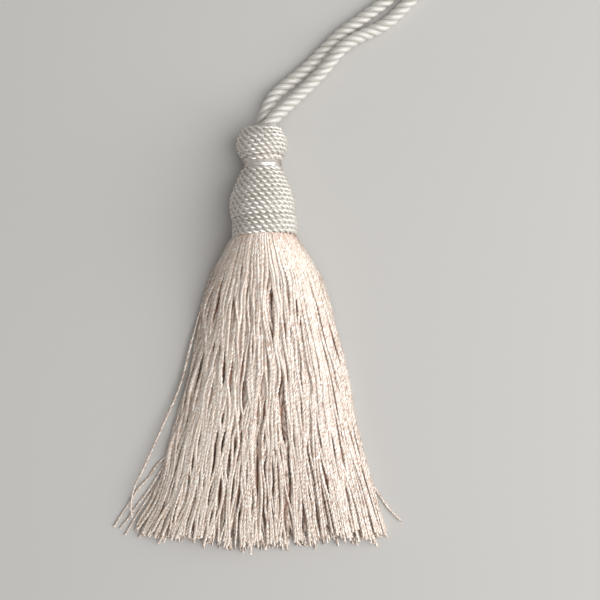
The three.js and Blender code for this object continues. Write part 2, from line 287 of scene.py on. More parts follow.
# turns points of the head's own frame (y along its axis) into the place where it lies
def lieDown(points):
    tilt, yaw = np.radians(-lieSet["tilt"]), np.radians(lieSet["yaw"])
    sink = np.array([[1, 0, 0], [0, np.cos(tilt), -np.sin(tilt)], [0, np.sin(tilt), np.cos(tilt)]])
    swing = np.array([[np.cos(yaw), -np.sin(yaw), 0], [np.sin(yaw), np.cos(yaw), 0], [0, 0, 1]])
    return points @ (swing @ sink).T + np.array(lieSet["neck"])


# wound yarn: a two-ply yarn goes round an outline of (along, radius), row beside row, thick enough to nest;
# between the two places of smooth, the waist, it lies flat
windingSet = {
    "pitch": 1.22, "lay": 3.3, "plies": 2, "offset": 0.36, "plyRadius": 0.43, "step": 0.3, "sides": 10,
    "rowShift": 0.9, "ends": (0.2, 0.5), "finePoints": 1200, "fineTurns": 8000,
    "outline": [
        (4.7, 7.55), (6.2, 7.85), (7.9, 8.0), (10.0, 7.75), (12.0, 7.05), (14.0, 6.25), (16.0, 5.4),
        (17.5, 4.85), (18.5, 4.75), (19.5, 5.2), (20.7, 5.95), (22.4, 6.35), (24.2, 6.15), (25.7, 5.4),
        (26.7, 4.75), (27.2, 4.3)],
    "smooth": (17.0, 18.4), "smoothFade": 0.8, "flatten": 0.8, "widen": 0.5,
    "sideShade": 0.7, "sideFrom": (0.75, 1.0),
    "tint": 0.5, "tintWaves": ((0.25, 9.0, 0.0), (0.2, 3.7, 1.0)),  # height, length, phase
}
bindingSet = {"shift": 0.5, "height": 5.3, "radius": 7.9, "rows": 4, "ends": (0.5, 0.25)}
windingLook = {
    "deep": "#d0c8bd", "pale": "#e5ded5", "glint": "#fbfaf7", "shadow": "#8d7769",
    "paintedGlint": 0.5, "soft": 0.2, "lean": -30.0, "girth": 2.7, "lineWide": 0.16, "lineLong": 1.6,
    "relief": 0.045, "rough": (0.16, 0.28), "specular": 1.0, "lustre": 0.4, "sheen": 0.05, "glow": 0.3,
}
windingYarn = viscoseYarn("lustrous viscose winding", windingLook)  # ivory, with a silver sheen, partly from its gloss and partly painted glints


# rows on an outline: axis = outline less the yarn's reach along its normal; azimuth = pi + 2 pi * row count,
# so that both ends of the yarn are on the underside
def woundYarn(outline, rows, ends, spec, smooth):
    outline = np.array(outline)
    knots = runLength(outline)
    edge = smoothThrough(knots, outline, np.linspace(0, knots[-1], spec["finePoints"]))
    run = unit(np.gradient(edge, axis=0))
    axis = edge - (spec["offset"] + spec["plyRadius"]) * np.stack([-run[:, 1], run[:, 0]], -1)
    length = runLength(edge)
    turns = np.linspace(0, rows, spec["fineTurns"])
    place = ends[0] + turns * (length[-1] - sum(ends)) / rows
    radius, azimuth = np.interp(place, length, axis[:, 1]), np.pi + 2 * np.pi * turns
    height = np.interp(place, length, axis[:, 0])
    spun = np.stack([radius * np.sin(azimuth), height, radius * np.cos(azimuth)], -1)
    spunAt = runLength(spun)
    at = np.linspace(0, spunAt[-1], int(spunAt[-1] / spec["step"]) + 1)
    turn = np.interp(at, spunAt, turns)
    path = np.stack([np.interp(at, spunAt, spun[:, k]) for k in range(3)], -1)
    # twist from top to top of each row, set so that the lobes step sideways evenly from row to row
    tops = np.concatenate([[0.0], np.arange(rows) + 0.5, [rows]])
    natural = np.diff(np.interp(tops, turns, spunAt)) * 2 * np.pi / spec["lay"]
    shift = 2 * np.pi * spec["rowShift"] / spec["lay"]
    stepped = np.pi * np.round((natural - shift) / np.pi) + shift
    stepped[[0, -1]] = natural[[0, -1]]
    twist = np.interp(turn, tops, np.concatenate([[0.0], np.cumsum(stepped)]))
    spin = np.pi + 2 * np.pi * turn
    up = np.stack([np.sin(spin), np.zeros(len(spin)), np.cos(spin)], -1)
    calm = np.zeros(len(at))  # share of the waist, where the yarn lies flat
    if smooth:
        fade = spec["smoothFade"]
        calm = ease(smooth[0] - fade, smooth[0], path[:, 1]) - ease(smooth[1], smooth[1] + fade, path[:, 1])
    rings = laidPlies(path, up, twist, spec["offset"] * (1 - spec["flatten"] * calm),
                      spec["plyRadius"] * (1 + spec["widen"] * calm), spec["plies"], spec["sides"])
    sides = spec["sideShade"] * calm * ease(*spec["sideFrom"], np.abs(up[:, 0]))  # painted shade, darker to both sides of the waist
    return rings, at, sides


def layWinding(name, rings, at, sides, node):
    laid = lieDown(rings)
    laid[..., 2] = np.maximum(laid[..., 2], 0.0)
    tint = windingSet["tint"]
    for height, length, phase in windingSet["tintWaves"]:
        tint = tint + height * np.sin(at / length + phase)
    at, tint, sides = (np.broadcast_to(numbers, rings.shape[:2]) for numbers in (at, tint, sides))
    piece = tubePiece(name, laid, at, windingYarn, {"tint": tint, "shade": sides})
    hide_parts(node)


headRows = int(round(runLength(np.array(windingSet["outline"]))[-1] / windingSet["pitch"]))
headRings, headAt, headSides = woundYarn(windingSet["outline"], headRows, windingSet["ends"], windingSet,
                                         windingSet["smooth"])
layWinding("headWinding", headRings, headAt, headSides, "wound_head")
ringOutline = [(bindingSet["height"] * part, bindingSet["radius"]) for part in (0, 0.5, 1)]
bindRings, bindAt, bindSides = woundYarn(ringOutline, bindingSet["rows"], bindingSet["ends"], windingSet,
                                         None)
bindRings[..., 0] += bindingSet["shift"]
layWinding("neckBinding", bindRings, bindAt, bindSides, "neck_binding")

# lower layer of the winding, seen between the rows: it lies sunk below the outline, less so in the waist,
# where it fills the grooves; the foot is inside the binding, the lip goes down into the mouth
underSet = {
    "points": 90, "sides": 48, "lowest": 0.02, "tint": 0.8,
    "sunk": 0.75, "waistRise": 0.45, "waist": (16.5, 17.2, 18.2, 18.9), "covers": (5.8, 26.3),
    "foot": [(0.2, 0.02), (0.2, 6.9), (5.6, 6.9)], "lip": [(26.2, 3.5), (24.6, 3.5), (24.6, 0.02)],
    "shade": 0.5, "waistBright": 0.45, "sideDark": 0.8, "sideFrom": (0.7, 1.0),
}


# share of the waist
def waistPart(along):
    begin, full, fade, end = underSet["waist"]
    return ease(begin, full, along) - ease(fade, end, along)


# a lathe, point = (radius * sin, along, radius * cos), closed at both ends
def underWinding(outline, spec):
    outline = np.array(outline)
    knots = runLength(outline)
    edge = smoothThrough(knots, outline, np.linspace(0, knots[-1], spec["points"]))
    sunk = spec["sunk"] - spec["waistRise"] * waistPart(edge[:, 0])
    edge = edge - np.stack([np.zeros(len(edge)), sunk], -1)
    begin, end = spec["covers"]
    edge = edge[(edge[:, 0] > begin) & (edge[:, 0] < end)]
    profile = np.concatenate([spec["foot"], edge, spec["lip"]])
    turn = 2 * np.pi * np.arange(spec["sides"]) / spec["sides"]
    reach, along = profile[:, 1, None], profile[:, 0, None]
    rings = np.stack(np.broadcast_arrays(reach * np.sin(turn), along, reach * np.cos(turn)), -1)
    # painted shade on the lower layer seen between the rows; the waist has less of it on top, so it is
    # bright there, and more at its sides, so they are dark
    topPart = 1 - spec["sideDark"] * ease(*spec["sideFrom"], np.abs(np.sin(turn)))
    shade = spec["shade"] - spec["waistBright"] * waistPart(along) * topPart
    return rings[None], runLength(profile)[None], shade[None]


underRings, underAt, underShade = underWinding(windingSet["outline"], underSet)
underLaid = lieDown(underRings)
underLaid[..., 2] = np.maximum(underLaid[..., 2], underSet["lowest"])
headUnder = tubePiece("headUnderWinding", underLaid, underAt, windingYarn,
                      {"tint": np.full(underAt.shape, underSet["tint"]), "shade": underShade})
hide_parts("wound_head")
print("head wound")

# skirt: a pile of two-ply strands. Pairs of numbers are the ends of a random draw, or where something begins
# and where it is full: in mm below the neck, in mm to the side, or as a share across, -1 left and 1 right.
# Rows are counted down from the neck, 0.2 mm apart
skirtSet = {
    # strands that show, thicker ones inside, and how they are pushed apart in each section
    "open": 372, "core": 90, "coreBulk": 1.8, "packing": 0.84,
    "rounds": 160, "push": 0.35, "pull": 0.02, "stir": 0.01, "nearest": 0.05, "itself": 9.0,
    "depths": 401, "even": 9.0, "leastArch": 0.02, "inside": 0.998, "insideTop": 0.98,
    "rootAlong": 0.6, "lowest": 0.36,
    # the pile's section at a depth below the neck: left and right are the outermost strands, lift the
    # underside on the centre line, waist the height of the widest line, crown the top
    "sections": np.array([
        # depth, left, right, lift, waist, crown
        (0.0, -4.5, 9.6, 1.3, 8.3, 15.2),
        (1.0, -5.6, 10.5, 1.1, 7.6, 15.35),
        (2.4, -6.5, 11.4, 0.9, 6.7, 15.3),
        (4.7, -7.75, 13.0, 0.6, 5.2, 14.6),
        (7.1, -9.0, 14.5, 0.45, 3.9, 13.7),
        (9.5, -9.8, 15.9, 0.38, 3.0, 12.8),
        (14.3, -11.5, 17.4, 0.38, 1.9, 11.4),
        (24.0, -13.9, 19.9, 0.38, 1.0, 9.4),
        (34.0, -16.1, 22.4, 0.38, 0.6, 8.2),
        (44.0, -18.5, 24.2, 0.38, 0.5, 7.4),
        (53.5, -21.2, 26.5, 0.38, 0.38, 6.8),
        (63.0, -23.7, 29.2, 0.38, 0.38, 6.3),
        (70.9, -26.0, 31.5, 0.38, 0.38, 5.9),
        (80.0, -28.6, 34.4, 0.38, 0.38, 5.6)]),
    # the hem's left corner bends outward, all ends splay a little
    "flare": (58.0, 79.0), "flareBy": -4.2, "flarePower": 5, "splay": 0.35, "splayFrom": (58, 77),
    # locks: bundles that keep together, calmer at the right; lockFlat weighs x and height in forming them
    "locks": 56, "lockRow": 170, "lockScatter": 0.6, "lockFlat": (1.0, 1.3), "lockFrom": (6, 24),
    "lockWave": (25, 55), "lockSteady": 0.6, "lockPulse": 0.4, "lockHold": (0.3, 1.5), "lockPull": 0.2,
    "lockPullUp": 0.4, "lockDrift": 0.32, "driftWave": (50, 90), "driftFrom": (8, 30),
    "calm": 0.9, "calmAt": (0.15, 0.5),
    # wander of single strands: length and height of each wave, sideways and up
    "wander": 0.6, "wanderFrom": (2, 18), "wanderPace": (0.75, 1.3), "wanderCalm": 0.7,
    "wanderCalmAt": (0.25, 0.6), "wavesX": ((60, 0.85), (28, 0.6), (13, 0.3)),
    "wavesZ": ((45, 0.35), (19, 0.28)),
    # partings seen from above: y, x of both ends, and how far the strands stand apart
    "partOpen": 0.9, "partDeep": 1.8, "partReach": 1.4, "partBegin": (-0.2, 0.4), "partEnd": (0.6, 1.2),
    "partings": [
        (17.3, 3.1, -1.5, 5.0, 1.0), (-0.9, 5.0, -13.5, 6.9, 0.6), (1.3, -9.5, -3.5, -9.7, 0.5),
        (-2.1, -7.6, -14.0, -7.6, 0.6), (-10.5, -7.7, -21.3, -8.0, 0.8), (-6.4, -3.2, -20.0, -2.0, 0.7),
        (-8.3, 1.8, -14.5, 2.1, 0.6), (9.1, -4.9, 1.5, -4.7, 0.6), (-5.9, 12.1, -13.1, 15.0, 0.35),
        (-8.8, 8.8, -20.7, 9.9, 0.7), (-12.2, 10.9, -24.2, 12.8, 0.6), (18.7, -2.5, 15.0, -3.4, 0.4),
        (-14.9, 15.4, -22.3, 19.0, 0.35), (-19.5, -6.6, -26.7, -6.9, 0.5), (-21.0, -5.2, -29.6, -4.0, 0.6),
        (-23.4, -7.6, -33.0, -7.9, 0.7), (-31.1, -5.5, -41.7, -5.2, 0.8), (-34.9, -2.1, -43.1, -2.8, 0.6),
        (-26.8, 3.7, -45.0, 3.7, 1.0), (-30.1, 14.7, -43.6, 17.9, 0.3), (-34.9, 19.3, -43.1, 22.4, 0.25),
        (-35.4, 11.1, -43.1, 11.6, 0.6), (-33.5, -17.5, -41.2, -19.4, 0.6),
        (-38.3, -11.9, -45.5, -12.4, 0.5), (-21.4, 1.8, -28.7, 2.2, 0.6), (9.8, 10.0, 2.7, 10.9, 0.3)],
    # crossers: strands from the uppermost ones that drift over their neighbours
    "crossers": 110, "crossFrom": 170, "crossRow": 300, "crossInside": 0.9, "crossBegin": (10, 48),
    "crossLong": (24, 40), "crossReach": (0.5, 2.6), "crossOver": 0.3, "crossClimb": 6,
    # the cut: length, spread, share and reach of longer ends, shorter core, then share across and how much
    # longer the strands are there
    "length": 76.0, "ragged": 0.55, "longShare": 0.07, "longBy": 1.2, "coreShort": 2.2,
    "cut": [(-1.0, 1.6), (-0.89, 1.2), (-0.64, -1.6), (-0.3, 0.0), (0.0, -0.8), (0.28, -0.9), (0.62, -1.8),
            (0.83, 0.5), (1.0, 1.4)],
    # a strand: girth as a share of the spacing and at most, thinner at the cut, lay with waves of size,
    # length and phase, and points round it as angle and reach, the small reach is the valley between plies
    "fill": 1.31, "fillClose": 0.08, "thick": 0.97, "girths": (0.8, 1.14),
    "cutGirth": 0.82, "cutFrom": (0, 26),
    "lay": 1.9, "lays": (0.8, 1.25), "uneven": ((0.22, 2.3, 40), (0.3, 6.1, 90)),
    "plyed": ((28, 0.5), (90, 0.34), (152, 0.5), (208, 0.5), (270, 0.34), (332, 0.5)),
    "plain": ((0, 0.5), (90, 0.43), (180, 0.5), (270, 0.43)),
    # where strands lie closest: under the neck and along the right side, less so near the cut
    "closeNeck": (6, 22), "closeNeckAt": (-0.5, 0.1), "closeRight": (0.3, 0.6), "closeLess": 0.5,
    "closeLessFrom": (45, 70),
    # how far a strand's open side is lit like the pile's surface
    "leastOut": 0.1, "merge": 0.65, "mergeClose": 0.7, "mergeLess": 0.8, "mergeLessFrom": (30, 62),
    "openSide": (-0.5, 0.5),
    # shade: where strands lie under others, and at the root, warmest at its right side
    "lookEvery": 10, "lookNear": 0.36, "buriedFrom": (0.5, 1.5), "rootShade": 0.1, "rootRight": 0.25,
    "rootRightAt": (2, 7), "rootLong": 2.4, "edgeFrom": (0.82, 0.96), "underFrom": (0.8, 2.6),
    "cutLight": (0.5, 7), "valleyShade": 0.15,
    # tint from deep to pale: painted light paler at the left, under the neck and at the cut, painted shade
    # deeper at the right and tan at the heading; deeper low down towards the right
    "tint": 0.55, "lockSpread": 0.25, "tintSpread": 0.25, "leftPaintedLight": 0.55, "leftAt": (0.1, 0.5),
    "rightPaintedShade": 0.35, "rightAt": (0.25, 0.6), "neckPaintedLight": 0.6, "neckAt": 4, "neckLong": 12,
    "headingShade": 1.1, "cutPaintedLight": 0.5, "cutLong": 6, "lowDeep": 0.2, "lowFrom": (38, 60), "lowAt": (-6, 4),
    "dull": 0.55, "dullTurn": 7,
    # how finely strands are drawn: count, stations and lay of those that lie open and of those under them,
    # and between which looks, how shallow and how thin a strand counts as open
    "fine": 186, "fineParts": 3, "fineStations": 240, "middle": 150, "middleStations": 120, "middleLay": 2,
    "restStations": 60, "restLay": 4, "showLooks": (1, 37), "showDepth": 0.3, "showGirth": 1.2,
    "patternApart": 800,
}
# strays: places (y, x) where a strand at the side lies once it has left the pile, its height, its longer cut
straySet = [
    {"side": -1, "longer": 0.2, "rise": 1.75, "spots": [
        (12.2, -11.9), (0.0, -15.4), (-11.0, -18.3), (-22.0, -23.1), (-31.8, -27.5), (-36.7, -29.7),
        (-40.3, -30.3), (-45.0, -29.5)]},
    {"side": -1, "longer": 4.2, "rise": 0.36, "spots": [
        (-28.6, -22.1), (-30.8, -24.3), (-33.5, -26.0), (-36.2, -28.5), (-39.1, -30.4), (-44.0, -33.6),
        (-46.7, -35.1)]},
    {"side": -1, "longer": 4.0, "rise": 0.36, "spots": [
        (-31.8, -23.1), (-36.2, -25.8), (-41.1, -29.4), (-43.3, -30.9), (-45.5, -32.6)]},
    {"side": -1, "longer": 5.0, "rise": 0.36, "spots": [
        (-34.2, -23.3), (-38.1, -26.0), (-42.3, -28.7), (-47.2, -31.6)]},
    {"side": -1, "longer": 1.6, "rise": 0.36, "spots": [(-36.2, -23.8), (-41.1, -26.7), (-44.8, -28.7)]},
    {"side": 1, "longer": 0.7, "rise": 0.36, "spots": [
        (-32.5, 27.3), (-35.9, 29.0), (-38.9, 31.0), (-41.3, 32.7), (-43.7, 35.1)]},
    {"side": 1, "longer": -1.0, "rise": 2.4, "back": -8.0, "spots": [
        (19.0, 13.5), (14.6, 16.2), (9.8, 17.8), (4.9, 18.9), (0.0, 20.1), (-6.0, 21.4)]},
]
# how strays leave the pile: over how many mm, over how many they come back, how far above the strand beside
# them, how far their line goes straight on, at which row and how far apart those strands are picked, girth
strayLay = {"leave": 9, "return": 16, "above": 0.4, "past": 10, "row": 220, "every": 2, "girth": 0.85}
skirtLook = {
    "deep": "#b08f78", "pale": "#e3ccb8", "glint": "#fff9f0", "shadow": "#dcac93",
    "paintedGlint": 1.0, "soft": 0.07, "lean": -20.0, "girth": 2.8, "lineWide": 0.36, "lineLong": 1.6,
    "relief": 0.09, "rough": (0.3, 0.12), "specular": 0.9, "lustre": 0.14, "sheen": 0.1, "glow": 0.0,
}
skirtYarn = viscoseYarn("champagne viscose yarn", skirtLook)  # pinkish cream, with short bright glints, partly from its gloss and partly painted into its colour


# height of underside and top of a section at a share across: both follow the arch sqrt(1 - across^2)
def sectionHeights(row, across):
    lift, waist, crown = row[3:]
    arch = np.sqrt(np.maximum(1 - across ** 2, skirtSet["leastArch"] ** 2))
    return lift + (waist - lift) * (1 - arch), waist + (crown - waist) * arch, arch


# middle and half width of a section
def sectionSpan(row):
    left, right = row[1:3]
    return (left + right) / 2, (right - left) / 2


# place in a section: x = middle + half width * across, height shared out between underside and top
def intoSection(row, disc):
    low, high, arch = sectionHeights(row, disc[..., 0])
    middle, half = sectionSpan(row)
    return np.stack([middle + half * disc[..., 0], low + (disc[..., 1] / arch + 1) / 2 * (high - low)], -1)


def outOfSection(row, place):
    middle, half = sectionSpan(row)
    across = np.clip((place[:, 0] - middle) / half, -skirtSet["inside"], skirtSet["inside"])
    low, high, arch = sectionHeights(row, across)
    return np.stack([across, (2 * np.clip((place[:, 1] - low) / (high - low), 0, 1) - 1) * arch], -1)


# spacing a at which close rows of strands fill a section: area / (packing * a^2) + girth / (2 a) = count
def fillSpacing(row, count):
    half, tall = sectionSpan(row)[1], (row[5] - row[3]) / 2
    area = np.pi * half * tall / skirtSet["packing"]
    girth = np.pi * (3 * (half + tall) - np.sqrt((3 * half + tall) * (half + 3 * tall)))
    return 2 * area / (np.sqrt(girth ** 2 / 4 + 4 * area * count) - girth / 2)


# strands pushed apart in one section: near pairs move away from each other, all stay between its walls
def settle(row, wish, bulk, spec):
    left, right = row[1:3]
    place, itself = wish.copy(), np.eye(len(wish)) * spec["itself"]  # none pushes itself
    apart = fillSpacing(row, np.sum(bulk ** 2)) * (bulk[:, None] + bulk) / 2
    for _ in range(spec["rounds"]):
        gap = place[None] - place[:, None]
        far = np.sqrt(gap[..., 0] ** 2 + gap[..., 1] ** 2) + itself
        push = np.maximum(apart - far, 0) / np.maximum(far, spec["nearest"]) * spec["push"]
        place -= np.einsum("ij,ijk->ik", push, gap)
        place += spec["pull"] * (wish - place) + dice.normal(0, spec["stir"], place.shape)
        place[:, 0] = np.clip(place[:, 0], left, right)
        low, high = sectionHeights(row, (2 * place[:, 0] - left - right) / (right - left))[:2]
        place[:, 1] = np.clip(place[:, 1], low, high)
    return place


# even disc of points of one bulk each: reach = sqrt(share of the area inside), turned by the golden angle
def evenDisc(bulk):
    area, order = bulk ** 2, np.arange(len(bulk))
    reach, turn = np.sqrt((np.cumsum(area) - area / 2) / area.sum()), order * np.pi * (3 - 5 ** 0.5)
    return np.stack([reach * np.cos(turn), reach * np.sin(turn)], -1)


# strands laid section by section: a close round bundle at the neck spreads into a low pile
def layStrands(bulk, spec):
    discs = [evenDisc(bulk)]
    for row in spec["sections"]:
        discs.append(outOfSection(row, settle(row, intoSection(row, discs[-1]), bulk, spec)))
    return np.array(discs[1:])


sections = skirtSet["sections"]
depth = np.linspace(0, sections[-1, 0], skirtSet["depths"])
down = depth[:, None]
atDepth = smoothThrough(sections[:, 0], sections, depth).T[..., None]
pileMiddle, pileHalf = sectionSpan(atDepth)
bulk = np.repeat([skirtSet["coreBulk"], 1.0], [skirtSet["core"], skirtSet["open"]])
discs = smoothThrough(sections[:, 0], layStrands(bulk, skirtSet), depth)
print("skirt strands settled")
# places in the disc are averaged along the run, weight exp(-(difference / even)^2 / 2), to run straight
blend = np.exp(-0.5 * ((down - depth) / skirtSet["even"]) ** 2)
discs = np.einsum("ij,jks->iks", blend / blend.sum(1, keepdims=True), discs)
across = discs[..., 0]
track = intoSection(atDepth, discs)  # [depth, strand, (x, z)]
trackX, trackZ = track[..., 0], track[..., 1]
outer = np.maximum(-across, 0) ** skirtSet["flarePower"]  # the flare is strongest at the left edge
trackX = trackX + skirtSet["flareBy"] * ease(*skirtSet["flare"], down) * outer


# slow waves along the run: sin(2 pi * (depth / length + phase)), one random phase for each length
def slowWaves(lengths):
    return np.sin(2 * np.pi * (down / lengths + dice.uniform(0, 1, len(lengths))))


# locks: neighbours at mid length keep together, and each bundle tightens, slackens and drifts along its run
pileTotal, lockTotal, lockRow = len(bulk), skirtSet["locks"], skirtSet["lockRow"]
lockSeeds = intoSection(atDepth[:, lockRow, 0], evenDisc(np.ones(lockTotal)))
lockSeeds = lockSeeds + dice.normal(0, skirtSet["lockScatter"], (lockTotal, 2))
toSeeds = (track[lockRow][:, None] - lockSeeds[None]) * skirtSet["lockFlat"]
lockOf = np.argmin(np.linalg.norm(toSeeds, axis=-1), axis=1)
member = (lockOf[:, None] == np.arange(lockTotal)[None]).astype(float)
member /= np.maximum(member.sum(0), 1)
pulse = skirtSet["lockPulse"] * slowWaves(dice.uniform(*skirtSet["lockWave"], lockTotal))
tight = ease(*skirtSet["lockFrom"], down) * (skirtSet["lockSteady"] + pulse)
tight = tight * dice.uniform(*skirtSet["lockHold"], lockTotal)
calm = 1 - skirtSet["calm"] * ease(*skirtSet["calmAt"], across[lockRow] @ member)  # calm at the right
tight = tight * (skirtSet["lockPull"] * calm)
drift = skirtSet["lockDrift"] * calm * ease(*skirtSet["driftFrom"], down)
drift = drift * slowWaves(dice.uniform(*skirtSet["driftWave"], lockTotal))
trackX = trackX + tight[:, lockOf] * ((trackX @ member)[:, lockOf] - trackX) + drift[:, lockOf]
trackZ = trackZ + skirtSet["lockPullUp"] * tight[:, lockOf] * ((trackZ @ member)[:, lockOf] - trackZ)


# wander: a few slow waves for each strand, calmer at the right
def wander(waves):
    total = np.zeros((len(depth), pileTotal))
    for length, height in waves:
        total += height * slowWaves(length * dice.uniform(*skirtSet["wanderPace"], pileTotal))
    calmer = 1 - skirtSet["wanderCalm"] * ease(*skirtSet["wanderCalmAt"], across)
    return skirtSet["wander"] * total * ease(*skirtSet["wanderFrom"], down) * calmer


trackX = trackX + wander(skirtSet["wavesX"])
trackX = trackX + dice.normal(0, skirtSet["splay"], pileTotal) * ease(*skirtSet["splayFrom"], down)
trackZ = trackZ + wander(skirtSet["wavesZ"])
lowZ, topZ = sectionHeights(atDepth, np.clip(across, -skirtSet["insideTop"], skirtSet["insideTop"]))[:2]
neckY, lean = lieSet["neck"][1] + skirtSet["rootAlong"], np.tan(np.radians(lieSet["tilt"]))
trackY = neckY + (trackZ[:1] - lieSet["neck"][2]) * lean - down

# partings: strands of the upper layers stand off a line to both sides, most at its middle
for y1, x1, y2, x2, wide in skirtSet["partings"]:
    share = (trackY - y1) / (y2 - y1)
    off = trackX - x1 - share * (x2 - x1)
    middle = np.argmin(np.abs(neckY - depth - (y1 + y2) / 2))
    upperPart = np.exp(-((topZ - trackZ)[middle] / skirtSet["partDeep"]) ** 2)
    opening = ease(*skirtSet["partBegin"], share) * (1 - ease(*skirtSet["partEnd"], share))
    apart = skirtSet["partOpen"] * wide * opening * np.exp(-np.abs(off) / skirtSet["partReach"])
    trackX = trackX + np.sign(off[middle]) * upperPart * apart

# crossers: each climbs over its neighbours where it begins to drift sideways
crossRow = skirtSet["crossRow"]
fitting = (np.abs(across[crossRow]) < skirtSet["crossInside"]) & (bulk == 1)
upper = [int(one) for one in np.argsort((topZ - trackZ)[crossRow]) if fitting[one]][:skirtSet["crossFrom"]]
for one in dice.choice(upper, skirtSet["crossers"], replace=False):
    begin = dice.uniform(*skirtSet["crossBegin"])
    end = begin + dice.uniform(*skirtSet["crossLong"])
    trackX[:, one] += dice.choice((-1, 1)) * dice.uniform(*skirtSet["crossReach"]) * ease(begin, end, depth)
    newAcross = (trackX[:, one] - pileMiddle[:, 0]) / pileHalf[:, 0]
    newAcross = np.clip(newAcross, -skirtSet["insideTop"], skirtSet["insideTop"])
    over = sectionHeights(atDepth[..., 0], newAcross)[1] + skirtSet["crossOver"]
    climb = ease(begin - skirtSet["crossClimb"], begin + skirtSet["crossClimb"], depth)
    trackZ[:, one] += climb * np.maximum(over - trackZ[:, one], 0)


# line through a stray's places, straight on past both ends
def strayLine(spots, y):
    spots = np.array(spots)
    before = spots[0] + (spots[0] - spots[1]) * strayLay["past"] / abs(spots[0, 0] - spots[1, 0])
    after = spots[-1] + (spots[-1] - spots[-2]) * strayLay["past"] / abs(spots[-1, 0] - spots[-2, 0])
    spots = np.concatenate([[before], spots, [after]])[::-1]
    return smoothThrough(spots[:, 0], spots[:, 1], np.clip(y, spots[0, 0], spots[-1, 0]))


# strays: each follows one of the outermost strands of its side until it leaves the pile
def strayTrack(row, beside):
    x, y, z = trackX[:, beside], trackY[:, beside], trackZ[:, beside] + strayLay["above"]
    begin = row["spots"][0][0]
    part = ease(-begin - strayLay["leave"], -begin, -y)
    if "back" in row:
        part = part - ease(-row["back"], strayLay["return"] - row["back"], -y)
    return np.stack([x + part * (strayLine(row["spots"], y) - x), y, z + part * (row["rise"] - z)])


strayRuns = []
for number, row in enumerate(straySet):
    inward = np.argsort(-row["side"] * across[strayLay["row"]])  # strands from that side's edge inwards
    strayRuns.append(strayTrack(row, inward[strayLay["every"] * number + 1]))
strayX, strayY, strayZ = np.transpose(strayRuns, (1, 2, 0))
trackX, trackY = np.concatenate([trackX, strayX], axis=1), np.concatenate([trackY, strayY], axis=1)
trackZ = np.maximum(np.concatenate([trackZ, strayZ], axis=1), skirtSet["lowest"])
strandTotal, noStray = pileTotal + len(straySet), np.zeros(len(straySet))
isStray = np.arange(strandTotal) >= pileTotal
ragged = dice.normal(0, skirtSet["ragged"], pileTotal)
ragged += skirtSet["longBy"] * (dice.uniform(0, 1, pileTotal) < skirtSet["longShare"])
ragged += np.interp(across[-1], *np.transpose(skirtSet["cut"])) - skirtSet["coreShort"] * (bulk > 1)
strandLength = skirtSet["length"] + np.concatenate([ragged, [row["longer"] for row in straySet]])

# shade: how deep a strand lies under others, looked at every 2 mm and spread between
looks = np.arange(0, len(depth), skirtSet["lookEvery"])
near = np.abs(trackX[looks][:, :, None] - trackX[looks][:, None]) < skirtSet["lookNear"]
buried = np.where(near, trackZ[looks][:, None], 0).max(-1) - trackZ[looks]
covered = smoothThrough(looks, ease(*skirtSet["buriedFrom"], buried), np.arange(len(depth)))
acrossPile = (trackX - pileMiddle) / pileHalf
covered = covered * (1 - ease(*skirtSet["edgeFrom"], np.abs(acrossPile)))  # open to the side
# open from below too, so the underside has none
covered[:, :pileTotal] *= ease(*skirtSet["underFrom"], trackZ[:, :pileTotal] - lowZ)
# painted shade at the root, where the strands come out under the binding, most at its right side
root = skirtSet["rootShade"] + skirtSet["rootRight"] * ease(*skirtSet["rootRightAt"], trackX)
root = root * np.exp(-(down / skirtSet["rootLong"]) ** 2)
strandShade = np.clip(np.maximum(covered, root), 0, 1)
# tint and build of each strand
lockToneAndPaintedLight = dice.normal(0, skirtSet["lockSpread"], lockTotal)[lockOf]
# painted light: strands at the left, which the lamp reaches least, are paler; painted shade: those at the
# right, where it shines most, are deeper
lockToneAndPaintedLight += skirtSet["leftPaintedLight"] * ease(*skirtSet["leftAt"], -across[lockRow])
lockToneAndPaintedLight -= skirtSet["rightPaintedShade"] * ease(*skirtSet["rightAt"], across[lockRow])
strandToneAndPaintedLight = skirtSet["tint"] + np.concatenate([lockToneAndPaintedLight, noStray])
strandToneAndPaintedLight = np.clip(strandToneAndPaintedLight + dice.normal(0, skirtSet["tintSpread"], strandTotal), 0, 1)
strandPhase = dice.uniform(0, 1, strandTotal)
strandLay = dice.uniform(*skirtSet["lays"], strandTotal)
strandGirth = np.where(isStray, strayLay["girth"], dice.uniform(*skirtSet["girths"], strandTotal))
strandGirth = strandGirth * np.concatenate([bulk, noStray + 1])
spacing = np.array([fillSpacing(row, np.sum(bulk ** 2)) for row in atDepth[..., 0].T])
# the pile's own outward direction at each strand, from the ellipse through it: offset / half size^2
outX = (trackX - pileMiddle) / pileHalf ** 2
outZ = np.maximum(trackZ - atDepth[4], skirtSet["leastOut"]) / (atDepth[5] - atDepth[4]) ** 2
# strands lie closest just under the neck and along the right side
closeNeck = (1 - ease(*skirtSet["closeNeck"], down)) * ease(*skirtSet["closeNeckAt"], acrossPile)
closeRight = ease(*skirtSet["closeRight"], acrossPile)
closeRight = closeRight * (1 - skirtSet["closeLess"] * ease(*skirtSet["closeLessFrom"], down))
closeLaid = np.maximum(closeNeck, closeRight)


